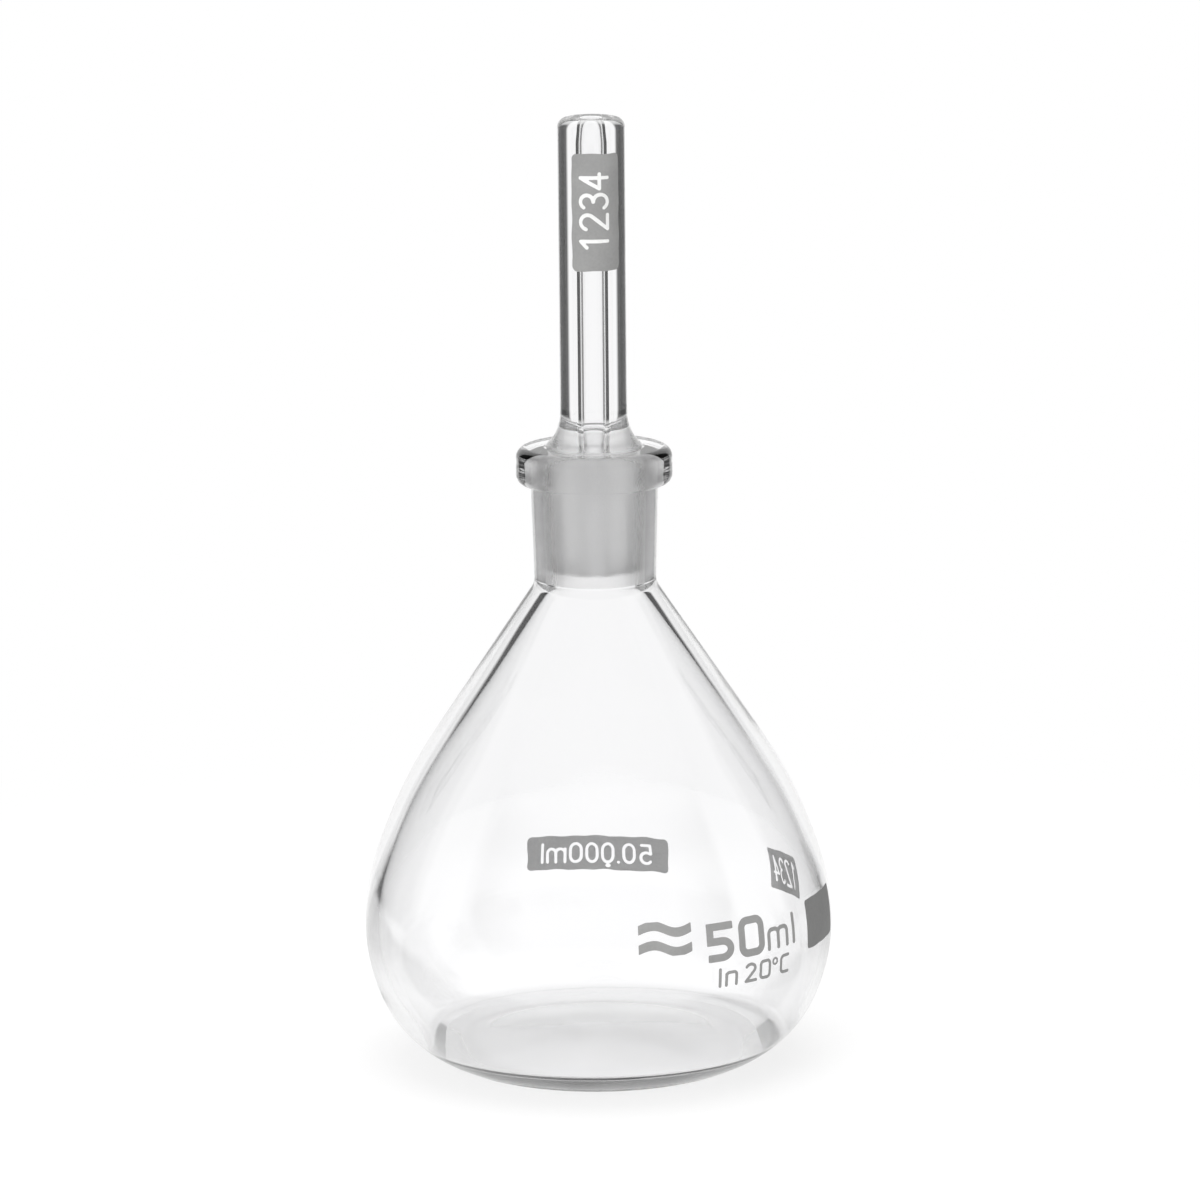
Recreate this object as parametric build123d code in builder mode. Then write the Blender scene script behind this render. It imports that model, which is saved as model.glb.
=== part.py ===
from build123d import *
from math import cos, radians, sin, tan
import os

# Pycnometer (specific gravity bottle) with its capillary stopper, stated capacity 50 ml.
# Millimetres. The origin is the centre of the base and +Z runs up the common axis.

# Outside of the bottle, from the base up
belly_diameter = 49.2       # widest outside diameter
rim_radius = 2.7            # edge of the base
rim_end_angle = 17.0        # degrees that the outline has turned where the rim arc ends
heel_radius = 12.6          # arc from the rim into the lower wall
heel_end_angle = 67.0       # degrees that it has turned where the heel arc ends
lower_wall_radius = 19.7    # arc from the heel up to the widest point
belly_radius = 22.7         # arc above the widest point
belly_angle = 17.7          # degrees that the belly arc turns
shoulder_radius = 52.3      # long arc into the straight cone of the shoulder
shoulder_half_angle = 33.9  # degrees between the straight shoulder and the axis
neck_foot_radius = 6.34     # outside of the neck where it meets the shoulder
neck_foot_fillet = 2.0
neck_draft = 1.7            # degrees that the neck widens upwards, outside
punt_radius = 13.0          # shallow hollow in the underside of the base
punt_height = 0.7

# Mouth and bead
neck_length = 14.4          # from the foot of the neck to the mouth plane
bead_diameter = 16.3
bead_height = 3.9
bead_top_round = 1.1
bead_bottom_round = 1.0
bead_root_fillet = 0.25
mouth_bevel = 0.25

# Ground joint, taper 1 in 10 on the diameter
joint_diameter = 10.0       # socket diameter at the mouth plane
joint_taper = 0.1           # loss of diameter for each millimetre of depth
seat_clearance = 0.03       # radial gap between the plug and the socket
socket_end_round = 0.5      # below the ground length, where the bore opens out

# Inside of the bottle
belly_wall = 1.3            # wall thickness at the widest point
inner_heel_radius = 1.8     # corner between the floor and the inner wall
inner_heel_angle = 50.0     # degrees that the corner turns
inner_lower_radius = 17.4
inner_belly_radius = 20.5
inner_belly_angle = 17.7
inner_shoulder_radius = 49.0

# Stopper
plug_depth = 13.0           # plug below the mouth plane
plug_stand = 0.2            # plug edge above the mouth plane
plug_end_bevel = 0.3
plug_edge_round = 0.12
flare_radius = 4.4          # concave root between the plug and the stem
stem_diameter = 7.0
stem_end_round = 1.0        # fire-polished outer edge
bore_diameter = 2.4         # capillary
bore_end_diameter = 2.0     # capillary where the heat has drawn its end in
bore_end_length = 2.5
bore_end_round = 0.25
overall_height = 100.0

# Derived sizes of the outside
belly_outer = belly_diameter / 2
base_flat = belly_outer - lower_wall_radius * (1 - sin(radians(heel_end_angle))) \
    - heel_radius * (sin(radians(heel_end_angle)) - sin(radians(rim_end_angle))) \
    - rim_radius * sin(radians(rim_end_angle))
belly_height = rim_radius * (1 - cos(radians(rim_end_angle))) \
    + heel_radius * (cos(radians(rim_end_angle)) - cos(radians(heel_end_angle))) \
    + lower_wall_radius * cos(radians(heel_end_angle))
shoulder_arc_drop = belly_radius * (1 - cos(radians(belly_angle))) \
    + shoulder_radius * (cos(radians(belly_angle)) - cos(radians(shoulder_half_angle)))
shoulder_arc_rise = belly_radius * sin(radians(belly_angle)) \
    + shoulder_radius * (sin(radians(shoulder_half_angle)) - sin(radians(belly_angle)))
shoulder_line_drop = belly_outer - shoulder_arc_drop - neck_foot_radius
neck_foot_height = belly_height + shoulder_arc_rise \
    + shoulder_line_drop / tan(radians(shoulder_half_angle))
mouth_height = neck_foot_height + neck_length
bead_bottom = mouth_height - bead_height
neck_top_radius = neck_foot_radius + (bead_bottom - neck_foot_height) * tan(radians(neck_draft))
bead_outer = bead_diameter / 2

# Derived sizes of the inside; the socket ends level with the foot of the neck
joint_radius = joint_diameter / 2
socket_end_radius = joint_radius - neck_length * joint_taper / 2
belly_inner = belly_outer - belly_wall
inner_floor_flat = belly_inner - inner_lower_radius * (1 - sin(radians(inner_heel_angle))) \
    - inner_heel_radius * sin(radians(inner_heel_angle))
inner_arc_drop = inner_belly_radius * (1 - cos(radians(inner_belly_angle))) \
    + inner_shoulder_radius * (cos(radians(inner_belly_angle)) - cos(radians(shoulder_half_angle)))
inner_arc_rise = inner_belly_radius * sin(radians(inner_belly_angle)) \
    + inner_shoulder_radius * (sin(radians(shoulder_half_angle)) - sin(radians(inner_belly_angle)))
inner_line_drop = belly_inner - inner_arc_drop - socket_end_radius
inner_line_rise = inner_line_drop / tan(radians(shoulder_half_angle))
inner_belly_height = neck_foot_height - inner_line_rise - inner_arc_rise
floor_height = inner_belly_height - inner_lower_radius * cos(radians(inner_heel_angle)) \
    - inner_heel_radius * (1 - cos(radians(inner_heel_angle)))

# Derived sizes of the stopper
plug_end_height = mouth_height - plug_depth
plug_end_radius = joint_radius - plug_depth * joint_taper / 2 - seat_clearance
plug_top_height = mouth_height + plug_stand
plug_top_radius = joint_radius + plug_stand * joint_taper / 2 - seat_clearance
stem_radius = stem_diameter / 2
flare_sine = (1 - (1 - (plug_top_radius - stem_radius) / flare_radius) ** 2) ** 0.5
flare_height = plug_top_height + flare_radius * flare_sine
bore_radius = bore_diameter / 2
bore_end_radius = bore_end_diameter / 2

os.makedirs("parts", exist_ok=True)

# Bottle: one revolved wall of blown glass
with BuildPart() as bottle:
    with BuildSketch(Plane.XZ) as glass:
        with BuildLine():
            punt = ThreePointArc(
                (0, punt_height),
                (punt_radius / 2, punt_height * 3 / 4),
                (punt_radius, 0),
            )
            base = Line(punt @ 1, (base_flat, 0))
            rim = JernArc(base @ 1, (1, 0), rim_radius, rim_end_angle)
            heel = JernArc(rim @ 1, rim % 1, heel_radius, heel_end_angle - rim_end_angle)
            lower = JernArc(heel @ 1, heel % 1, lower_wall_radius, 90 - heel_end_angle)
            belly = JernArc(lower @ 1, lower % 1, belly_radius, belly_angle)
            shoulder = JernArc(
                belly @ 1, belly % 1, shoulder_radius, shoulder_half_angle - belly_angle
            )
            cone = Line(shoulder @ 1, (neck_foot_radius, neck_foot_height))
            neck = Line(cone @ 1, (neck_top_radius, bead_bottom))
            bead_under = Line(neck @ 1, (bead_outer, bead_bottom))
            bead_side = Line(bead_under @ 1, (bead_outer, mouth_height))
            mouth = Line(bead_side @ 1, (joint_radius, mouth_height))
            socket = Line(mouth @ 1, (socket_end_radius, neck_foot_height))
            inner_cone = Line(
                socket @ 1,
                (belly_inner - inner_arc_drop, inner_belly_height + inner_arc_rise),
            )
            inner_shoulder = JernArc(
                inner_cone @ 1,
                inner_cone % 1,
                inner_shoulder_radius,
                inner_belly_angle - shoulder_half_angle,
            )
            inner_belly = JernArc(
                inner_shoulder @ 1, inner_shoulder % 1, inner_belly_radius, -inner_belly_angle
            )
            inner_lower = JernArc(
                inner_belly @ 1, inner_belly % 1, inner_lower_radius, inner_heel_angle - 90
            )
            inner_heel = JernArc(
                inner_lower @ 1, inner_lower % 1, inner_heel_radius, -inner_heel_angle
            )
            floor = Line(inner_heel @ 1, (0, floor_height))
            Line(floor @ 1, punt @ 0)
        make_face()
        fillet(glass.vertices().sort_by_distance(neck @ 0)[0], neck_foot_fillet)
        fillet(glass.vertices().sort_by_distance(neck @ 1)[0], bead_root_fillet)
        fillet(glass.vertices().sort_by_distance(bead_under @ 1)[0], bead_bottom_round)
        fillet(glass.vertices().sort_by_distance(bead_side @ 1)[0], bead_top_round)
        fillet(glass.vertices().sort_by_distance(socket @ 1)[0], socket_end_round)
        chamfer(glass.vertices().sort_by_distance(mouth @ 1)[0], mouth_bevel)
    revolve(axis=Axis.Z)
bottle.part.label = "bottle"
export_step(bottle.part, "parts/bottle.step")

# Stopper: ground plug, flared root and capillary stem in one piece
with BuildPart() as stopper:
    with BuildSketch(Plane.XZ) as rod:
        with BuildLine():
            plug_end = Line((bore_radius, plug_end_height), (plug_end_radius, plug_end_height))
            plug = Line(plug_end @ 1, (plug_top_radius, plug_top_height))
            flare = RadiusArc(plug @ 1, (stem_radius, flare_height), flare_radius)
            stem = Line(flare @ 1, (stem_radius, overall_height))
            stem_end = Line(stem @ 1, (bore_end_radius, overall_height))
            drawn_bore = Line(stem_end @ 1, (bore_radius, overall_height - bore_end_length))
            Line(drawn_bore @ 1, plug_end @ 0)
        make_face()
        chamfer(rod.vertices().sort_by_distance(plug_end @ 1)[0], plug_end_bevel)
        fillet(rod.vertices().sort_by_distance(plug @ 1)[0], plug_edge_round)
        fillet(rod.vertices().sort_by_distance(stem @ 1)[0], stem_end_round)
        fillet(rod.vertices().sort_by_distance(stem_end @ 1)[0], bore_end_round)
    revolve(axis=Axis.Z)
stopper.part.label = "stopper"
export_step(stopper.part, "parts/stopper.step")
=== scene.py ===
import math

import bmesh
import bpy
import numpy as np
from mathutils import Matrix, Vector


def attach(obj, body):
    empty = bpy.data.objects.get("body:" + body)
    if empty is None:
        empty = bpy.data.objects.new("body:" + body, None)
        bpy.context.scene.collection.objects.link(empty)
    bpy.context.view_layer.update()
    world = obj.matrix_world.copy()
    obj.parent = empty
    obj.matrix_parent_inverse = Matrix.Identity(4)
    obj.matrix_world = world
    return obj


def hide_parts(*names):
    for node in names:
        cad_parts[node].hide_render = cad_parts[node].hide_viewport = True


# Dressed model of a 50 ml pycnometer: blown clear glass, a ground joint and fired grey enamel marks.
# Lengths are in millimetres, as in the part's source, and MM turns them into metres.
# The table, the lamps and the textures are in metres.

MM = 0.001
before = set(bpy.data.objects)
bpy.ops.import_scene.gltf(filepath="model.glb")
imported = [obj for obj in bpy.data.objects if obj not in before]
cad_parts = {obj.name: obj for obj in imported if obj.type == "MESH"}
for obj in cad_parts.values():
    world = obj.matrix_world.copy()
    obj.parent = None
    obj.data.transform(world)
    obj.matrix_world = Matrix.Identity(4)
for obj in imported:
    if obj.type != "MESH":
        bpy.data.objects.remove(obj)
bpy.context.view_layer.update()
scene = bpy.context.scene

# Sizes, as in the part's source. A pair is an arc's radius and the degrees that it turns.
BELLY_R = 24.6                            # widest outside radius
RIM = (2.7, 17.0)                         # edge of the base
HEEL = (12.6, 50.0)                       # from the rim into the lower wall
LOWER = (19.7, 23.0)                      # from the heel up to the widest point
BELLY = (22.7, 17.7)                      # above the widest point
HALF_ANGLE = 33.9                         # degrees between the straight shoulder and the axis
SHOULDER = (52.3, HALF_ANGLE - BELLY[1])  # from the belly into the straight shoulder
NECK_FOOT_R = 6.34                        # outside of the neck where it meets the shoulder
NECK_FOOT_FILLET = 2.0
NECK_DRAFT = 1.7                          # degrees that the neck widens upwards
NECK_LENGTH = 14.4                        # from the foot of the neck to the mouth
PUNT_R = 13.0                             # shallow hollow in the underside of the base
PUNT_H = 0.7
BEAD_R = 8.15
BEAD_H = 3.9
BEAD_TOP = 1.1                            # rounds of the bead's upper and lower edge
BEAD_BOTTOM = 1.0
BEAD_ROOT = 0.25                          # fillet between the neck and the bead
MOUTH_BEVEL = 0.25
JOINT_R = 5.0                             # socket at the mouth
TAPER = 0.05                              # loss of radius for each millimetre of depth
CLEARANCE = 0.03                          # gap between the plug and the socket
SOCKET_END = 0.5                          # round where the socket opens into the shoulder
WALL = 1.3                                # at the widest point
IN_HEEL = (1.8, 50.0)                     # inner corner between the floor and the wall
IN_LOWER = (17.4, 40.0)
IN_BELLY = (20.5, 17.7)
IN_SHOULDER = (49.0, HALF_ANGLE - IN_BELLY[1])
PLUG_DEPTH = 13.0                         # plug below the mouth
PLUG_STAND = 0.2                          # plug above the mouth
PLUG_BEVEL = 0.3                          # at its lower end
PLUG_EDGE = 0.12                          # round at its upper end
FLARE_R = 4.4                             # concave root between the plug and the stem
STEM_R = 3.5
STEM_ROUND = 1.0                          # fire-polished outer edge
BORE_R = 1.2
BORE_END_R = 1.0                          # where the heat has drawn the bore's end in
BORE_END_LENGTH = 2.5
BORE_ROUND = 0.25
BORE_NECK_ROUND = 6.0                     # soft start of the drawn end
HEIGHT = 100.0


def rad(degrees):
    return math.radians(degrees)


def sin(degrees):
    return math.sin(rad(degrees))


def cos(degrees):
    return math.cos(rad(degrees))


# Outlines, as points (r, z) of radius and height
STEP = 1.2         # about the length of a piece along the bottle
STEM_STEP = 2.0    # the same along the stem and the bore
CURVE_STEPS = 16   # pieces of the hollow in the base and of the flare


def line(a, b, step=STEP):
    """Points from a to b, without a itself."""
    n = max(1, round(math.dist(a, b) / step))
    return [(a[0] + (b[0] - a[0]) * k / n, a[1] + (b[1] - a[1]) * k / n) for k in range(1, n + 1)]


def chain(start, heading, items, step=STEP):
    """Points of tangent arcs (radius, turn in degrees) and of lines ("to", (r, z))."""
    r, z = start
    a = rad(heading)
    points = [(r, z)]
    for first, second in items:
        if first == "to":
            a = math.atan2(second[1] - z, second[0] - r)
            points += line((r, z), second, step)
        else:
            radius, turn = first, rad(second)
            side = 1 if turn > 0 else -1
            n = max(4, math.ceil(abs(second) / 4), math.ceil(radius * abs(turn) / step))
            cr, cz = r - side * radius * math.sin(a), z + side * radius * math.cos(a)
            for k in range(1, n + 1):
                t = a + turn * k / n
                points.append((cr + side * radius * math.sin(t), cz - side * radius * math.cos(t)))
            a += turn
        r, z = points[-1]
    return points


def corner(a, b, c, radius, n):
    """Points of the arc in n pieces that rounds corner b between a and c."""
    a, b, c = Vector(a), Vector(b), Vector(c)
    u, v = (a - b).normalized(), (c - b).normalized()
    half = u.angle(v) / 2
    reach = radius / math.tan(half)
    centre = b + (u + v).normalized() * radius / math.sin(half)
    p, q = b + u * reach - centre, b + v * reach - centre
    sweep = p.angle(q)
    points = []
    for k in range(n + 1):
        t = k / n
        w = p * (math.sin((1 - t) * sweep) / math.sin(sweep)) + q * (math.sin(t * sweep) / math.sin(sweep))
        points.append(tuple(centre + w))
    return points


# Outside of the bottle, from the base up
heel_end, rim_end = RIM[1] + HEEL[1], RIM[1]
base_flat = (BELLY_R - LOWER[0] * (1 - sin(heel_end)) - HEEL[0] * (sin(heel_end) - sin(rim_end))
             - RIM[0] * sin(rim_end))
belly_height = (RIM[0] * (1 - cos(rim_end)) + HEEL[0] * (cos(rim_end) - cos(heel_end))
                + LOWER[0] * cos(heel_end))
drop = BELLY[0] * (1 - cos(BELLY[1])) + SHOULDER[0] * (cos(BELLY[1]) - cos(HALF_ANGLE))
rise = BELLY[0] * sin(BELLY[1]) + SHOULDER[0] * (sin(HALF_ANGLE) - sin(BELLY[1]))
FOOT = belly_height + rise + (BELLY_R - drop - NECK_FOOT_R) / math.tan(rad(HALF_ANGLE))
MOUTH = FOOT + NECK_LENGTH
BEAD_Z = MOUTH - BEAD_H
neck_top = NECK_FOOT_R + (BEAD_Z - FOOT) * math.tan(rad(NECK_DRAFT))

outer_low = chain((base_flat, 0), 0, [RIM, HEEL, LOWER, BELLY, SHOULDER])
foot_arc = corner(outer_low[-1], (NECK_FOOT_R, FOOT), (neck_top, BEAD_Z), NECK_FOOT_FILLET, 10)
root_arc = corner((NECK_FOOT_R, FOOT), (neck_top, BEAD_Z), (BEAD_R, BEAD_Z), BEAD_ROOT, 5)
outer_body = outer_low + line(outer_low[-1], foot_arc[0]) + foot_arc[1:]
outer = outer_body + line(foot_arc[-1], root_arc[0]) + root_arc[1:]
bead = chain((BEAD_R - BEAD_BOTTOM, BEAD_Z), 0, [
    (BEAD_BOTTOM, 90),
    ("to", (BEAD_R, MOUTH - BEAD_TOP)),
    (BEAD_TOP, 90),
    ("to", (JOINT_R + MOUTH_BEVEL, MOUTH)),
    ("to", (JOINT_R - MOUTH_BEVEL * TAPER, MOUTH - MOUTH_BEVEL)),
])

# Inside of the bottle, from the mouth down
in_r = BELLY_R - WALL
in_turn = IN_HEEL[1]
in_flat = in_r - IN_LOWER[0] * (1 - sin(in_turn)) - IN_HEEL[0] * sin(in_turn)
in_drop = IN_BELLY[0] * (1 - cos(IN_BELLY[1])) + IN_SHOULDER[0] * (cos(IN_BELLY[1]) - cos(HALF_ANGLE))
in_rise = IN_BELLY[0] * sin(IN_BELLY[1]) + IN_SHOULDER[0] * (sin(HALF_ANGLE) - sin(IN_BELLY[1]))
socket_end = JOINT_R - NECK_LENGTH * TAPER
in_height = FOOT - (in_r - in_drop - socket_end) / math.tan(rad(HALF_ANGLE)) - in_rise
FLOOR = in_height - IN_LOWER[0] * cos(in_turn) - IN_HEEL[0] * (1 - cos(in_turn))
inner_up = chain((in_flat, FLOOR), 0, [IN_HEEL, IN_LOWER, IN_BELLY, IN_SHOULDER])
socket_arc = corner(bead[-1], (socket_end, FOOT), inner_up[-1], SOCKET_END, 6)
inner = (line(bead[-1], socket_arc[0]) + socket_arc[1:] + line(socket_arc[-1], inner_up[-1])
         + inner_up[-2::-1] + line((in_flat, FLOOR), (0, FLOOR)))
punt_shares = [k / CURVE_STEPS for k in range(CURVE_STEPS + 1)]
punt = [(PUNT_R * share, PUNT_H * (1 - share ** 2)) for share in punt_shares]
bottle_outline = punt + line(punt[-1], (base_flat, 0)) + outer[1:] + bead + inner

# The stopper, from the lower end of its bore around the outside and back down the bore
plug_end, plug_top = MOUTH - PLUG_DEPTH, MOUTH + PLUG_STAND
plug_end_r = JOINT_R - PLUG_DEPTH * TAPER - CLEARANCE
plug_top_r = JOINT_R + PLUG_STAND * TAPER - CLEARANCE
flare_turn = math.acos(1 - (plug_top_r - STEM_R) / FLARE_R)
flare_z = plug_top + FLARE_R * math.sin(flare_turn)
flare_turns = [flare_turn * (1 - k / CURVE_STEPS) for k in range(CURVE_STEPS + 1)]
flare = [(STEM_R + FLARE_R * (1 - math.cos(t)), flare_z - FLARE_R * math.sin(t)) for t in flare_turns]
plug_edge = corner((plug_end_r, plug_end + 1), (plug_top_r, plug_top), flare[1], PLUG_EDGE, 4)
top_round = chain((STEM_R, HEIGHT - STEM_ROUND), 90, [(STEM_ROUND, 90)], step=0.12)
bore_start = (BORE_R, plug_end)
bore_drawn = (BORE_R, HEIGHT - BORE_END_LENGTH)
bore_round = corner(top_round[-1], (BORE_END_R, HEIGHT), bore_drawn, BORE_ROUND, 6)
bore_neck = corner(bore_round[-1], bore_drawn, bore_start, BORE_NECK_ROUND, 8)
bevel_top = (plug_end_r + PLUG_BEVEL * TAPER, plug_end + PLUG_BEVEL)
stopper_outline = (
    [bore_start] + line(bore_start, (plug_end_r - PLUG_BEVEL, plug_end)) + [bevel_top]
    + line(bevel_top, plug_edge[0]) + plug_edge[1:]
    + flare[2:] + line(flare[-1], top_round[0], STEM_STEP) + top_round[1:] + bore_round
    + bore_neck + line(bore_neck[-1], bore_start, STEM_STEP)[:-1])

# Meshes
BOTTLE_SEGMENTS = 256
STOPPER_SEGMENTS = 144
GLASS_CREASE = 30  # degrees from which an edge of the glass stays crisp
INK_CREASE = 50    # the same for the ink


def lathe(name, outline, segments, place=None, closed=False):
    """Surface of revolution about Z; place(r, angle, z, index) may shift a point, as hand work does."""
    verts, rings = [], []
    for i, (r, z) in enumerate(outline):
        if r < 1e-6:
            rings.append([len(verts)] * segments)
            verts.append((0.0, 0.0, z * MM))
            continue
        ring = []
        for k in range(segments):
            a = 2 * math.pi * k / segments
            x, y, h = r * math.cos(a), r * math.sin(a), z
            if place:
                x, y, h = place(r, a, z, i)
            ring.append(len(verts))
            verts.append((x * MM, y * MM, h * MM))
        rings.append(ring)
    faces = []
    for i in range(len(outline) if closed else len(outline) - 1):
        low, high = rings[i], rings[(i + 1) % len(outline)]
        for k in range(segments):
            m = (k + 1) % segments
            face = list(dict.fromkeys((low[k], low[m], high[m], high[k])))
            if len(face) > 2:
                faces.append(face)
    return solid(name, verts, faces, GLASS_CREASE)


def solid(name, verts, faces, crease):
    """A smooth-shaded object with outward normals; edges over `crease` degrees stay crisp."""
    mesh = bpy.data.meshes.new(name)
    mesh.from_pydata(verts, [], faces)
    mesh.validate()
    bm = bmesh.new()
    bm.from_mesh(mesh)
    bmesh.ops.recalc_face_normals(bm, faces=bm.faces)
    for face in bm.faces:
        face.smooth = True
    for edge in bm.edges:
        if len(edge.link_faces) == 2 and edge.calc_face_angle(0) > rad(crease):
            edge.smooth = False
    bm.to_mesh(mesh)
    bm.free()
    obj = bpy.data.objects.new(name, mesh)
    scene.collection.objects.link(obj)
    return obj


# Shader nodes
def new_tree(name):
    """A new material with its node tree and its shader."""
    material = bpy.data.materials.new(name)
    material.use_nodes = True
    tree = material.node_tree
    return material, tree, tree.nodes["Principled BSDF"]


def node(tree, kind, inputs=None, **settings):
    """A new shader node; an input is either a value or the output of another node."""
    n = tree.nodes.new("ShaderNode" + kind)
    for key, value in settings.items():
        setattr(n, key, value)
    for key, value in (inputs or {}).items():
        if isinstance(value, bpy.types.NodeSocket):
            tree.links.new(value, n.inputs[key])
        else:
            n.inputs[key].default_value = value
    return n


def math_node(tree, operation, a, b=0.0):
    return node(tree, "Math", {0: a, 1: b}, operation=operation).outputs[0]


def largest(tree, first, *others):
    """Output that holds the largest of several levels."""
    for other in others:
        first = math_node(tree, "MAXIMUM", first, other)
    return first


def ramp(tree, value, low, high, out_low=0.0, out_high=1.0, smooth=True):
    """Output that goes from out_low to out_high while the value goes from low to high."""
    return node(tree, "MapRange", {0: value, 1: low, 2: high, 3: out_low, 4: out_high},
                interpolation_type="SMOOTHSTEP" if smooth else "LINEAR").outputs[0]


# Materials
GLASS_IOR = 1.473              # borosilicate glass
GLASS_TINT = (0.9965, 0.9965, 1.0, 1)
GROUND_TINT = (0.965, 0.965, 0.965, 1)
GROUND_ROUGHNESS = 0.47        # least roughness of the ground faces
GROUND_SPREAD = 0.16           # what the rings left by grinding add to it
SCUFF_HOLLOW = 0.35            # roughness of the underside in its hollow
SCUFF_RIM = 0.6                # and on the ring that the bottle stands on
SPECK_SHARE = 0.6              # strength of the ink's grain beside its mottling


def glass_shader(name, tint):
    """A glass material that is still smooth, with its tree, its shader and its object coordinates."""
    material, tree, shader = new_tree(name)
    shader.inputs["Base Color"].default_value = tint
    shader.inputs["Transmission Weight"].default_value = 1.0
    shader.inputs["Roughness"].default_value = 0.0
    shader.inputs["IOR"].default_value = GLASS_IOR
    return material, tree, shader, node(tree, "TexCoord").outputs["Object"]


def clear_glass():
    """Fire-polished borosilicate: slow striae left by blowing ripple the surface a little."""
    material, tree, shader, place = glass_shader("clear_glass", GLASS_TINT)
    stretched = node(tree, "Mapping", {"Vector": place, "Scale": (1, 1, 0.35)}).outputs[0]
    striae = node(tree, "TexNoise", {"Vector": stretched, "Scale": 150.0, "Detail": 2.0})
    bump = node(tree, "Bump", {"Height": striae.outputs["Fac"], "Strength": 0.02, "Distance": 0.001})
    tree.links.new(bump.outputs[0], shader.inputs["Normal"])
    return material


def ground_glass():
    """Matt ground surface of the joint, with the fine grain and rings that grinding leaves."""
    material, tree, shader, place = glass_shader("ground_glass", GROUND_TINT)
    grain = node(tree, "TexNoise", {"Vector": place, "Scale": 5000.0, "Detail": 3.0})
    rings = node(tree, "Mapping", {"Vector": place, "Scale": (1, 1, 30)}).outputs[0]
    turned = node(tree, "TexNoise", {"Vector": rings, "Scale": 120.0, "Detail": 2.0})
    rough = node(tree, "Math", {0: turned.outputs["Fac"], 1: GROUND_SPREAD, 2: GROUND_ROUGHNESS},
                 operation="MULTIPLY_ADD")
    tree.links.new(rough.outputs[0], shader.inputs["Roughness"])
    bump = node(tree, "Bump", {"Height": grain.outputs["Fac"], "Strength": 0.25, "Distance": 0.0001})
    tree.links.new(bump.outputs[0], shader.inputs["Normal"])
    return material


def scuffed_glass():
    """The underside of the base, dulled by years of standing on benches."""
    material, tree, shader, place = glass_shader("scuffed_glass", (1.0, 1.0, 1.0, 1))
    wear = node(tree, "TexNoise", {"Vector": place, "Scale": 150.0, "Detail": 2.0})
    flat = node(tree, "Mapping", {"Vector": place, "Scale": (1, 1, 0)}).outputs[0]
    reach = node(tree, "VectorMath", {0: flat}, operation="LENGTH").outputs["Value"]
    ring = ramp(tree, reach, PUNT_R * MM, (base_flat + 0.5) * MM, SCUFF_HOLLOW, SCUFF_RIM)
    patches = ramp(tree, wear.outputs["Fac"], 0.3, 0.7, 0.9, 1.1)
    tree.links.new(math_node(tree, "MULTIPLY", ring, patches), shader.inputs["Roughness"])
    return material


def enamel(name, level):
    """Matt fired ink or engraving, or the ink's lighter painted-light glass side, of about one grey level,
    slightly mottled and grained.
    """
    material, tree, shader = new_tree(name)
    place = node(tree, "TexCoord").outputs["Object"]
    cloud = node(tree, "TexNoise", {"Vector": place, "Scale": 260.0, "Detail": 3.0})
    speck = node(tree, "TexNoise", {"Vector": place, "Scale": 3200.0, "Detail": 2.0})
    grain = math_node(tree, "MULTIPLY", speck.outputs["Fac"], SPECK_SHARE)
    mix = math_node(tree, "ADD", cloud.outputs["Fac"], grain)
    tone = node(tree, "ValToRGB", {"Fac": math_node(tree, "MULTIPLY", mix, 1 / (1 + SPECK_SHARE))})
    low, high = level * 0.9, level * 1.08
    tone.color_ramp.elements[0].position = 0.3
    tone.color_ramp.elements[1].position = 0.7
    tone.color_ramp.elements[0].color = (low, low, low * 0.99, 1)
    tone.color_ramp.elements[1].color = (high, high, high * 0.99, 1)
    tree.links.new(tone.outputs[0], shader.inputs["Base Color"])
    shader.inputs["Roughness"].default_value = 0.55
    shader.inputs["Specular IOR Level"].default_value = 0.3
    bump = node(tree, "Bump", {"Height": speck.outputs["Fac"], "Strength": 0.2, "Distance": 0.00005})
    tree.links.new(bump.outputs[0], shader.inputs["Normal"])
    return material


GLASS = clear_glass()
GROUND = ground_glass()
SCUFFED = scuffed_glass()
INK = enamel("grey_enamel", 0.31)
SPOT_INK = enamel("marking_enamel", 0.22)
ENGRAVED = enamel("engraving", 0.86)
# the lighter grey of each mark's glass side is painted light, standing in for the lamps' light that does not
# reach it through the glass
PAINTED_LIGHT_GLASS_SIDE_INK = enamel("enamel_glass_side_painted_light", 0.92)

# The two glass pieces
INNER_SHIFT = 0.2     # sideways shift of the inner surface, which fades out towards the neck
FLOOR_SHIFT = 0.3     # what is added to it at the floor
SHIFT_FADE = 12       # height over which the shift fades out below the neck
FLOOR_FADE = 7        # height over which the floor's share fades out
OVAL = 0.03           # how far the inner surface is out of round, in two and in three lobes
LOBED = 0.015
OVAL_FADE = 10        # height below the neck over which it becomes round
FLOOR_WAVE = 0.06     # waves of the inner floor
SCUFF_REACH = 2.4     # how far the scuffed glass reaches past the flat base
first_inner = len(bottle_outline) - len(inner)


def inner_shift(z):
    """Sideways shift of the inner surface: the wall of a blown bottle is never quite even."""
    low = 1 - min(max((z - FLOOR) / FLOOR_FADE, 0), 1)
    high = min(max((FOOT + 1 - z) / SHIFT_FADE, 0), 1)
    return INNER_SHIFT * high ** 2 * (3 - 2 * high) + FLOOR_SHIFT * low ** 2


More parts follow.
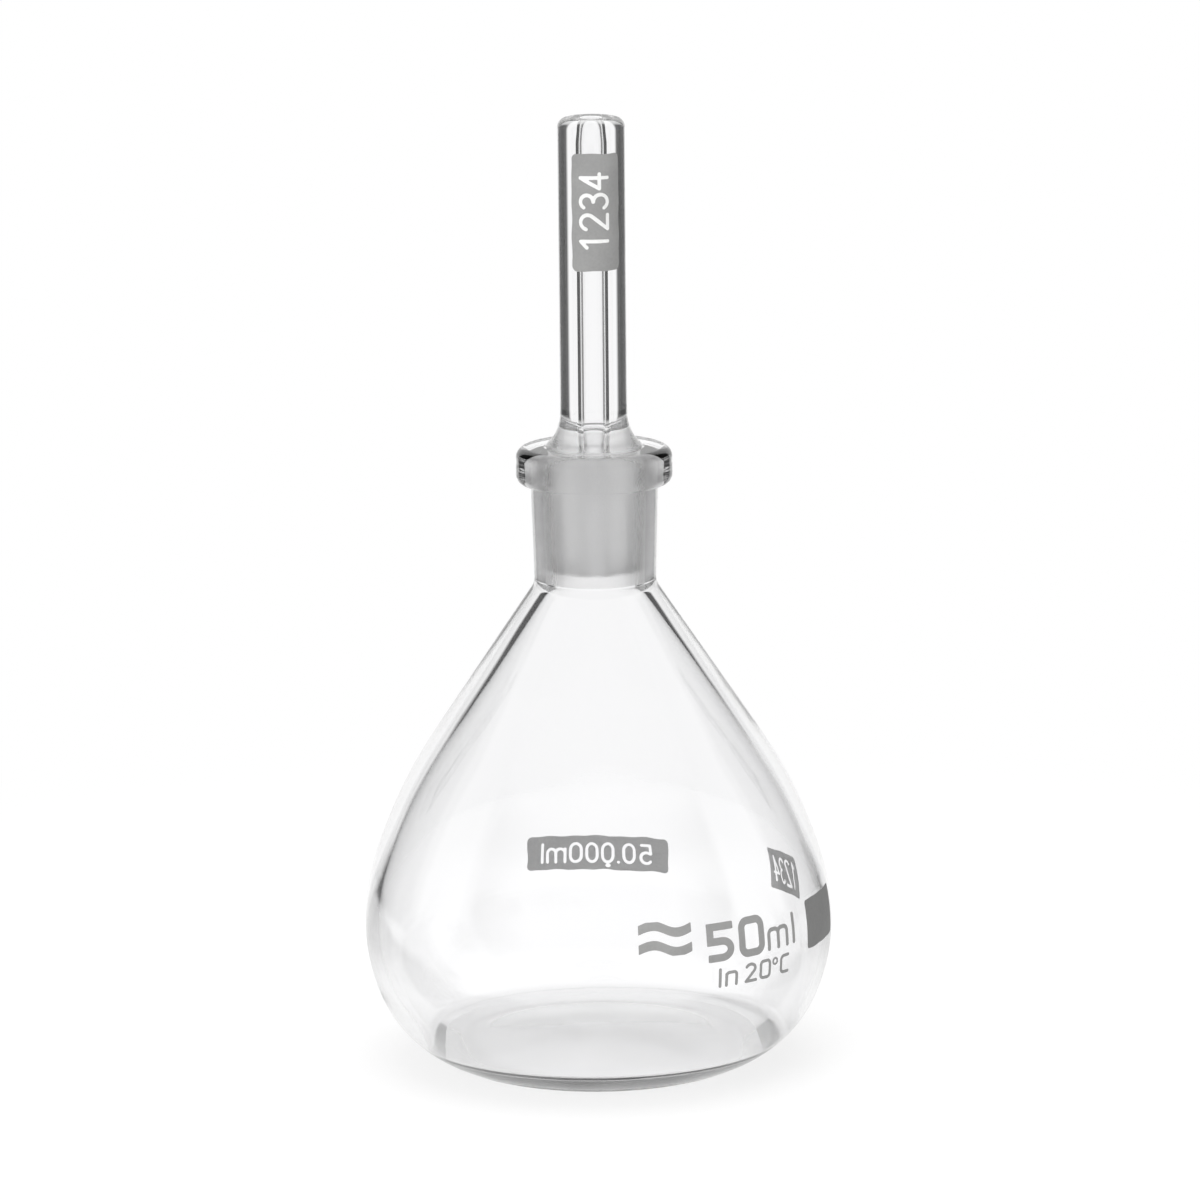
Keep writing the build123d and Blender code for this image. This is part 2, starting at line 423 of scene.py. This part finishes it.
def blown(r, a, z, i):
    """Places a point of the bottle, with the inner surface a little off centre and uneven."""
    x, y = r * math.cos(a), r * math.sin(a)
    if i >= first_inner and z < FOOT:
        shift = inner_shift(z)
        free = min((FOOT - z) / OVAL_FADE, 1)
        uneven = free * (OVAL * math.cos(2 * a + 0.6) + LOBED * math.cos(3 * a - 0.09 * z))
        if r > 15 or z > FLOOR + 3:
            x += uneven * math.cos(a)
            y += uneven * math.sin(a)
        if z < FLOOR + 0.05:
            z += FLOOR_WAVE * math.sin(r * 0.35) * math.cos(a + 0.5) * min(r / 6, 1)
        x += shift
    return x, y, z


def in_socket(r, z):
    """True on the ground wall of the socket."""
    return FOOT + 0.5 < z < MOUTH - MOUTH_BEVEL - 0.01 and r < JOINT_R


def on_plug(r, z):
    """True on the ground wall of the plug, and not in its bore."""
    return plug_end + PLUG_BEVEL < z < plug_top - PLUG_EDGE and r > BORE_R + 1


bottle = lathe("bottle_glass", bottle_outline, BOTTLE_SEGMENTS, blown)
stopper = lathe("stopper_glass", stopper_outline, STOPPER_SEGMENTS, closed=True)
for piece, ground in ((bottle, in_socket), (stopper, on_plug)):
    piece.data.materials.append(GLASS)
    piece.data.materials.append(GROUND)
    piece.data.materials.append(SCUFFED)
    for face in piece.data.polygons:
        x, y, z = face.center / MM
        r = math.hypot(x, y)
        if ground(r, z):
            face.material_index = 1
        elif z < PUNT_H + 0.01 and r < base_flat + SCUFF_REACH:
            face.material_index = 2
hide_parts("bottle")
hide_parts("stopper")
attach(bottle, "bottle")
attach(stopper, "stopper")

# Distances that draw the enamel marks. x runs to the right and y up on the glass.
FAR = 1e9  # farther than any stroke


def arc(cx, cy, rx, ry, start, end, n=14):
    """Points of an arc of an ellipse from one angle to another."""
    angles = [start + (end - start) * k / n for k in range(n + 1)]
    return [(cx + rx * cos(a), cy + ry * sin(a)) for a in angles]


def stroke_distance(x, y, points):
    """Distance from each point of the grid to a polyline."""
    best = np.full(x.shape, FAR)
    if len(points) == 1:
        return np.hypot(x - points[0][0], y - points[0][1])
    for (ax, ay), (bx, by) in zip(points, points[1:]):
        dx, dy = bx - ax, by - ay
        length = dx * dx + dy * dy
        t = np.clip(((x - ax) * dx + (y - ay) * dy) / max(length, 1e-12), 0, 1)
        best = np.minimum(best, np.hypot(x - ax - t * dx, y - ay - t * dy))
    return best


def box_distance(x, y, x0, y0, x1, y1, radius):
    """Distance to a box with rounded corners, negative inside it."""
    qx = np.abs(x - (x0 + x1) / 2) - (x1 - x0) / 2 + radius
    qy = np.abs(y - (y0 + y1) / 2) - (y1 - y0) / 2 + radius
    return np.hypot(np.maximum(qx, 0), np.maximum(qy, 0)) + np.minimum(np.maximum(qx, qy), 0) - radius


def glyph(char, w, h):
    """Skeleton of a character as polylines in a box w wide and h high."""
    if char == "0":
        rx, ry = w / 2, min(h / 2, w * 0.62)
        return [arc(w / 2, h - ry, rx, ry, 180, 0) + arc(w / 2, ry, rx, ry, 0, -180) + [(0, h - ry)]]
    if char == "1":
        return [[(w * 0.15, h * 0.78), (w * 0.58, h), (w * 0.58, 0)]]
    if char == "2":
        top = arc(w / 2, h - w / 2, w / 2, w / 2, 165, -38)
        return [top + [(0.02 * w, 0), (w, 0)]]
    if char == "3":
        r1, r2 = h * 0.235, h * 0.265
        return [arc(w / 2, h - r1, w * 0.46, r1, 150, -90) + arc(w / 2, r2, w * 0.5, r2, 90, -150)]
    if char == "4":
        return [[(w * 0.74, 0), (w * 0.74, h), (0, h * 0.3), (w, h * 0.3)]]
    if char == "5":
        r = h * 0.3
        return [[(w * 0.9, h), (w * 0.14, h), (w * 0.06, h * 0.54)]
                + arc(w * 0.48, r, w * 0.52, r, 125, -140)]
    if char == "l":
        return [[(0, 0), (0, h)]]
    if char == ".":
        return [[(0, 0)]]
    if char == "m":
        x = h * 0.72
        span = w / 2
        r = span / 2
        strokes = [[(0, 0), (0, x)]]
        for k in range(2):
            strokes.append(arc(r + k * span, x - r, r, r, 180, 0) + [((k + 1) * span, 0)])
        return strokes
    raise ValueError(char)


def written(x, y, text, x0, y0, height, advance):
    """Least distance to a row of characters; advance gives each one's width and the gap after it."""
    best = np.full(x.shape, FAR)
    for char, (width, gap) in zip(text, advance):
        for points in glyph(char, width, height):
            best = np.minimum(best, stroke_distance(x - x0, y - y0, points))
        x0 += width + gap
    return best


# Where a mark lies on the glass. Azimuth is in degrees from the front, to the right.
body_line = np.array(outer_body)
body_run = np.concatenate(([0], np.cumsum(np.hypot(*np.diff(body_line, axis=0).T))))
body_slope = np.gradient(body_line, body_run, axis=0)


def on_body(azimuth, height):
    """Maps a mark's (right, up, out) millimetres to the bottle's outer surface about a centre."""
    middle = np.interp(height, body_line[:, 1], body_run)
    middle_r = np.interp(height, body_line[:, 1], body_line[:, 0])

    def place(u, v, lift):
        run = middle + v
        r, z = np.interp(run, body_run, body_line[:, 0]), np.interp(run, body_run, body_line[:, 1])
        tr, tz = np.interp(run, body_run, body_slope[:, 0]), np.interp(run, body_run, body_slope[:, 1])
        r, z = r + lift * tz, z - lift * tr
        a = rad(azimuth) + u / middle_r
        return r * np.sin(a), -r * np.cos(a), z
    return place


def on_stem(azimuth, height):
    """The same for the stem."""
    def place(u, v, lift):
        a = rad(azimuth) + u / STEM_R
        return (STEM_R + lift) * np.sin(a), -(STEM_R + lift) * np.cos(a), height + v
    return place


# Skins of ink
INK_LIFT = 0.025        # outer face of the ink above the glass
INK_SINK = 0.02         # its inner face in the glass
ENGRAVING_LIFT = 0.01   # outer face of the engraved digits, below that of the ink


def cut_grid(level, xs, ys):
    """Points and faces of the cells of a grid where level < 0, cut along its zero line."""
    flat, index = [], {}

    def vertex(key, x, y):
        if key not in index:
            index[key] = len(flat)
            flat.append((x, y))
        return index[key]

    faces = []
    for i in range(len(xs) - 1):
        for j in range(len(ys) - 1):
            ring = ((i, j), (i + 1, j), (i + 1, j + 1), (i, j + 1))
            if all(level[c] >= 0 for c in ring):
                continue
            face = []
            for a, b in zip(ring, ring[1:] + ring[:1]):
                la, lb = level[a], level[b]
                if la < 0:
                    face.append(vertex(a, xs[a[0]], ys[a[1]]))
                if (la < 0) != (lb < 0):
                    t = la / (la - lb)
                    face.append(vertex(tuple(sorted((a, b))),
                                       xs[a[0]] + (xs[b[0]] - xs[a[0]]) * t,
                                       ys[a[1]] + (ys[b[1]] - ys[a[1]]) * t))
            if len(face) > 2:
                faces.append(face)
    return np.array(flat), faces


def mark(name, size, cell, shape, place, ink, body, lift=INK_LIFT):
    """A thin closed skin of ink where shape(x, y) < 0, on a grid of cells about the mark's centre.

    Its glass side is a lighter grey than its ink, painted light, because no lamp lights it through the
    glass.
    """
    nx, ny = round(size[0] / cell), round(size[1] / cell)
    xs = np.linspace(-size[0] / 2, size[0] / 2, nx + 1)
    ys = np.linspace(-size[1] / 2, size[1] / 2, ny + 1)
    gx, gy = np.meshgrid(xs, ys, indexing="ij")
    level = shape(gx, gy)
    least = cell * 0.04
    level = np.where(np.abs(level) < least, least * np.where(level < 0, -1, 1), level)
    flat, faces = cut_grid(level, xs, ys)
    n = len(flat)
    edges = dict.fromkeys(pair for face in faces for pair in zip(face, face[1:] + face[:1]))
    rim = [(a, b) for a, b in edges if (b, a) not in edges]
    top = np.stack(place(flat[:, 0], flat[:, 1], lift), 1)
    bottom = np.stack(place(flat[:, 0], flat[:, 1], -INK_SINK), 1)
    verts = np.concatenate((top, bottom)) * MM
    skin = faces + [[n + v for v in reversed(f)] for f in faces] + [[b, a, n + a, n + b] for a, b in rim]
    piece = solid(name, verts.tolist(), skin, INK_CREASE)
    piece.data.materials.append(ink)
    # the glass side gets the lighter grey, painted light
    piece.data.materials.append(PAINTED_LIGHT_GLASS_SIDE_INK)
    for face in piece.data.polygons:
        face.material_index = int(len(faces) <= face.index < 2 * len(faces))
    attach(piece, body)


# Shapes of the marks, negative inside the ink. The pair number and the volume are plain stand-ins.
PAIR = "1234"
VOLUME = "50.000ml"
VOLUME_ADVANCE = [(1.2, 0.75), (1.2, 0.6), (0, 0.6)] + [(1.2, 0.62)] * 3 + [(2.0, 0.62), (0, 0)]
VOLUME_TILT = 0.035
STEM_PEN = 0.2          # half the width of a stroke in each mark
VOLUME_PEN = 0.17
BODY_PEN = 0.16
CAPACITY_PEN = 0.215
TEMPERATURE_PEN = 0.165


def patch(width, height, radius, wobble=0.03):
    """A rounded rectangle whose edges waver a little."""
    def shape(x, y):
        edge = wobble * (np.sin(1.1 * x + 2.0 * y) + np.sin(2.3 * x - 1.3 * y + 1))
        return box_distance(x, y, -width / 2, -height / 2, width / 2, height / 2, radius) + edge
    return shape


def stem_pair(x, y):
    """The pair number, reading upwards on the stem."""
    return written(y + 3.85, -x + 1.2, PAIR, 0, 0, 2.85, [(1.5, 0.62)] * 4) - STEM_PEN


def stem_engraving(x, y):
    """The same digits, a little narrower than the openings for them in the ink."""
    return stem_pair(x, y) + 0.02


def stem_patch(x, y):
    """The patch on the stem, with the digits left open in it."""
    return np.maximum(patch(5.3, 12.2, 0.6)(x, y), -stem_pair(x, y))


def volume_patch(x, y):
    """A tilted patch with the volume left open in it and a small flaw in the ink."""
    y = y - VOLUME_TILT * x
    text = written(x, y, VOLUME, -6.1, -1.1, 2.15, VOLUME_ADVANCE) - VOLUME_PEN
    flaw = np.hypot((x + 1.2) * 0.7, y + 1.5) - 0.22
    return np.maximum(patch(16.2, 4.0, 0.5, 0.04)(x, y), np.maximum(-text, -flaw))


def pair_patch(x, y):
    """The patch on the body, with the pair number left open in it."""
    pair = written(x, y, PAIR, -2.3, -1.4, 2.8, [(0.85, 0.43)] * 4) - BODY_PEN
    return np.maximum(patch(6.2, 4.7, 0.25, 0.02)(x, y), -pair)


def approx_sign(x, y):
    """Two waves, one above the other, cut off upright at their ends, with a small flaw in the ink."""
    phase = np.where(np.abs(x) < 1.3, 90 * x / 1.3, np.sign(x) * (90 + 90 * (np.abs(x) - 1.3) / 1.55))
    wave = -0.4 * np.sin(np.radians(phase))
    band = np.minimum(np.abs(y - 1.0 - wave), np.abs(y + 1.0 - wave)) - 0.49
    flaw = np.hypot((x + 2.2) * 0.8, y - 0.42) - 0.32
    return np.maximum(np.maximum(band, np.abs(x) - 2.85), -flaw)


def capacity(x, y):
    """The figure 50 in heavy square strokes and ml in a lighter pen."""
    x = x + 6.45
    y = y + 2.05
    t, h = 0.8, 4.05
    bars = [
        (0, h - t, 3.2, h, 0.14),
        (0, 1.72, t, h, 0.06),
        (0, 1.72, 1.7, 1.72 + t, 0.06),
        (0.12, 0, 1.9, t, 0.14),
    ]
    five = np.minimum.reduce([box_distance(x, y, *b) for b in bars])
    bowl_top = [(1.4, 1.72 + t / 2), (1.75, 1.72 + t / 2)]
    bowl = bowl_top + arc(1.75, 1.26, 1.08, 0.86, 90, -90, 20) + [(1.4, t / 2)]
    five = np.minimum(five, stroke_distance(x, y, bowl) - t / 2)
    zero_box = (3.9 + t / 2, -0.05 + t / 2, 7.35 - t / 2, h + 0.1 - t / 2, 0.75)
    zero = np.abs(box_distance(x, y, *zero_box)) - t / 2
    m = stroke_distance(x, y, [(8.0, 0.25), (8.0, 1.7)]) - CAPACITY_PEN
    for x0 in (8.0, 9.45):
        left, right = arc(x0 + 0.5, 1.72, 0.5, 0.5, 180, 90, 8), arc(x0 + 0.95, 1.72, 0.5, 0.5, 90, 0, 8)
        arch = [(x0, 1.6)] + left + right + [(x0 + 1.45, 0.25)]
        m = np.minimum(m, stroke_distance(x, y, arch) - CAPACITY_PEN)
    stem = stroke_distance(x, y, [(12.1, 0.25), (12.1, 3.15)]) - CAPACITY_PEN
    return np.minimum.reduce([five, zero, m, stem])


def temperature(x, y):
    """In 20 degrees C, in a light square pen."""
    x = x + 5.0
    y = y + 1.05
    pen, h = TEMPERATURE_PEN, 2.1
    strokes = [
        [(0.17, pen), (0.17, h - pen)],
        [(0.95, pen), (0.95, 1.35)],
        [(0.95, 1.2)] + arc(1.3, 1.2, 0.35, 0.3, 180, 90, 6) + arc(1.85, 1.2, 0.35, 0.3, 90, 0, 6)
        + [(2.2, pen)],
        arc(4.05, h - pen - 0.45, 0.62, 0.45, 150, -40, 14) + [(3.45, pen), (4.8, pen)],
        [(9.75, h - pen)] + arc(9.05, 1.5, 0.48, 0.43, 90, 180, 6) + arc(9.05, 0.6, 0.48, 0.43, 180, 270, 6)
        + [(9.75, pen)],
    ]
    lines = np.minimum.reduce([stroke_distance(x, y, s) for s in strokes]) - pen
    zero = np.abs(box_distance(x, y, 5.3 + pen, pen, 6.95 - pen, h - pen, 0.38)) - pen
    ring = np.abs(np.hypot(x - 7.6, y - 1.62) - 0.32) - 0.11
    return np.minimum.reduce([lines, zero, ring])


# The marks. The engraved digits are their own piece, so that the bore's lines don't show in them.
marking_patch = patch(8.3, 5.2, 0.35, 0.02)
on_stem_front = on_stem(7.6, 90.55)
mark("pair_number_stem", (6.0, 13.0), 0.07, stem_patch, on_stem_front, INK, "stopper")
mark("pair_engraving", (6.0, 13.0), 0.07, stem_engraving, on_stem_front, ENGRAVED, "stopper", ENGRAVING_LIFT)
mark("volume_mark", (17.4, 5.4), 0.08, volume_patch, on_body(180.7, 16.65), INK, "bottle")
mark("pair_number_body", (6.8, 5.4), 0.07, pair_patch, on_body(120.9, 17.2), INK, "bottle")
mark("marking_spot", (9.0, 6.0), 0.1, marking_patch, on_body(71.8, 16.85), SPOT_INK, "bottle")
mark("approx_sign", (6.2, 3.6), 0.06, approx_sign, on_body(16.3, 18.5), INK, "bottle")
mark("capacity_mark", (13.4, 4.6), 0.06, capacity, on_body(42.1, 17.55), INK, "bottle")
mark("temperature_mark", (10.6, 2.7), 0.05, temperature, on_body(41.7, 13.75), INK, "bottle")

# Table and surroundings, in metres. Angles are degrees from straight behind, alike on both sides.
WHITE = (1, 1, 1, 1)
WALL_LEVEL = 0.96            # bright wall behind the object
WALL_END = (31, 36)          # where it begins to fade, and where it has faded
ROOM_LEVEL = 0.06            # dim room beside it
STRIP_LEVEL = 0.8            # bright strip at each side
STRIP_MIDDLE = 90
STRIP_END = (15, 19)         # the same, from its middle
FRONT_LEVEL = 0.7            # light from the front
FRONT_START = (110, 140)     # where it begins, and where it is full
CEILING_LEVEL = 0.9          # light from above, by the upward part of the direction
CEILING_START = (0.5, 0.7)
TABLE_HALF = 3
TABLE_Z = -0.00005
TABLE_FRONT_LEVEL = 0.9      # the far table towards the front
TABLE_FRONT_START = (116, 124)
TABLE_LIT_END = (0.14, 0.24)  # distances between which the bright table around the object fades
DIM_MIDDLE = 75              # painted shade in the table's glow to both sides of the object
DIM_END = (40, 46)           # where they begin to fade, and where they have faded, from their middle
DIM_GROWTH = (0.03, 0.07)    # distances between which they grow darker
DIM_DEPTH = (0.1, 0.4)       # what they take from the light at these distances
SHADOW_END = (0.05, 0.15)    # distances between which the table's own glow takes over from the lamps
SHADOW_GLOW = 0.8            # its share close to the object, where the table keeps a shadow


def bearing(tree, x, y):
    """Angle from the direction straight behind the object, the same to the left and to the right."""
    return math_node(tree, "ABSOLUTE", math_node(tree, "ARCTAN2", x, y))


def away_from(tree, angle, middle):
    """How far an angle is from the middle of a zone, to either side."""
    return math_node(tree, "ABSOLUTE", math_node(tree, "SUBTRACT", angle, rad(middle)))


def room(tree, angle, front_start, front_level):
    """Level all around: bright wall behind, dim room, a bright strip at each side, light from the front."""
    wall = ramp(tree, angle, rad(WALL_END[0]), rad(WALL_END[1]), WALL_LEVEL, ROOM_LEVEL, False)
    off_strip = away_from(tree, angle, STRIP_MIDDLE)
    strip = ramp(tree, off_strip, rad(STRIP_END[0]), rad(STRIP_END[1]), STRIP_LEVEL, 0.0, False)
    front = ramp(tree, angle, rad(front_start[0]), rad(front_start[1]), 0.0, front_level, False)
    return largest(tree, wall, strip, front)


def table():
    """A pale table that glows as brightly as the room beyond it, and shows as white to the camera."""
    mesh = bpy.data.meshes.new("floor")
    corners = [(-TABLE_HALF, -TABLE_HALF), (TABLE_HALF, -TABLE_HALF), (TABLE_HALF, TABLE_HALF),
               (-TABLE_HALF, TABLE_HALF)]
    mesh.from_pydata([(x, y, TABLE_Z) for x, y in corners], [], [(0, 1, 2, 3)])
    floor = bpy.data.objects.new("floor", mesh)
    scene.collection.objects.link(floor)
    material, tree, shader = new_tree("pale_floor")
    shader.inputs["Base Color"].default_value = (0.92, 0.92, 0.92, 1)
    shader.inputs["Roughness"].default_value = 0.8
    shader.inputs["Specular IOR Level"].default_value = 0.1
    place = node(tree, "SeparateXYZ", {0: node(tree, "TexCoord").outputs["Object"]})
    x, y = place.outputs[0], place.outputs[1]
    squares = math_node(tree, "ADD", math_node(tree, "MULTIPLY", x, x), math_node(tree, "MULTIPLY", y, y))
    reach = math_node(tree, "SQRT", squares)
    angle = bearing(tree, x, y)
    # the glow that the glass sees of the table is painted light: bright close to the object, with painted
    # shade to both sides, and the room's levels farther out
    beside = ramp(tree, away_from(tree, angle, DIM_MIDDLE), rad(DIM_END[0]), rad(DIM_END[1]), 1.0, 0.0)
    depth = ramp(tree, reach, *DIM_GROWTH, *DIM_DEPTH)
    near = math_node(tree, "SUBTRACT", 1.0, math_node(tree, "MULTIPLY", beside, depth))
    close = math_node(tree, "MULTIPLY", near, ramp(tree, reach, *TABLE_LIT_END, 1.0, 0.0))
    far = room(tree, angle, TABLE_FRONT_START, TABLE_FRONT_LEVEL)
    glow = largest(tree, far, close, node(tree, "LightPath").outputs["Is Camera Ray"])
    emission = node(tree, "Emission", {"Color": WHITE, "Strength": glow})
    share = ramp(tree, reach, *SHADOW_END, SHADOW_GLOW, 1.0)
    mix = node(tree, "MixShader", {0: share, 1: shader.outputs[0], 2: emission.outputs[0]})
    tree.links.new(mix.outputs[0], tree.nodes["Material Output"].inputs[0])
    mesh.materials.append(material)


def surroundings():
    """The room as the glass shows it, and plain white for the camera."""
    world = bpy.data.worlds.new("studio")
    scene.world = world
    world.use_nodes = True
    tree = world.node_tree
    tree.nodes.clear()
    direction = node(tree, "SeparateXYZ", {0: node(tree, "TexCoord").outputs["Generated"]})
    around = room(tree, bearing(tree, direction.outputs[0], direction.outputs[1]), FRONT_START, FRONT_LEVEL)
    above = ramp(tree, direction.outputs[2], *CEILING_START, 0.0, CEILING_LEVEL)
    strength = largest(tree, around, above, node(tree, "LightPath").outputs["Is Camera Ray"])
    background = node(tree, "Background", {"Color": WHITE, "Strength": strength})
    output = node(tree, "OutputWorld")
    tree.links.new(background.outputs[0], output.inputs[0])


def lamp(name, location, size, power):
    """A large soft lamp aimed at the object; it lights the ink and the table and shows in no glass."""
    data = bpy.data.lights.new(name, "AREA")
    data.shape = "DISK"
    data.size = size
    data.energy = power
    obj = bpy.data.objects.new(name, data)
    scene.collection.objects.link(obj)
    obj.location = location
    obj.rotation_euler = (Vector((0, 0, 0.04)) - Vector(location)).to_track_quat("-Z", "Y").to_euler()
    obj.visible_glossy = False
    obj.visible_transmission = False


table()
surroundings()
lamp("overhead", location=(0.0, -0.1, 1.1), size=0.9, power=7.5)
lamp("front_fill", location=(-0.5, -0.9, 0.5), size=0.7, power=5.0)

# Camera, fitted to the photograph
PHOTO_PIXELS = 1200
PIXELS_PER_MM = 9.563     # at the object's axis
AXIS_COLUMN = 595.5       # where the photograph shows the axis
ELEVATION = 11.6
ROLL = -0.55
DISTANCE = 747.6
AIM_HEIGHT = 49.16
SENSOR = 36


def photo_camera():
    """The camera of the photograph: distance, height of aim, tilt and roll as they were fitted."""
    elevation, roll = rad(ELEVATION), rad(ROLL)
    forward = Vector((0, math.cos(elevation), -math.sin(elevation)))
    up, right = Vector((0, math.sin(elevation), math.cos(elevation))), Vector((1, 0, 0))
    across = right * math.cos(roll) + up * math.sin(roll)
    upright = up * math.cos(roll) - right * math.sin(roll)
    data = bpy.data.cameras.new("camera")
    data.sensor_width = SENSOR
    data.lens = DISTANCE / (PHOTO_PIXELS / PIXELS_PER_MM) * SENSOR
    data.shift_x = (PHOTO_PIXELS / 2 - AXIS_COLUMN) / PHOTO_PIXELS
    data.clip_start = 0.01
    obj = bpy.data.objects.new("camera", data)
    scene.collection.objects.link(obj)
    spot = (Vector((0, 0, AIM_HEIGHT)) - forward * DISTANCE) * MM
    obj.matrix_world = Matrix((
        (across.x, upright.x, -forward.x, spot.x),
        (across.y, upright.y, -forward.y, spot.y),
        (across.z, upright.z, -forward.z, spot.z),
        (0, 0, 0, 1)))
    scene.camera = obj


photo_camera()
scene.view_settings.view_transform = "Standard"
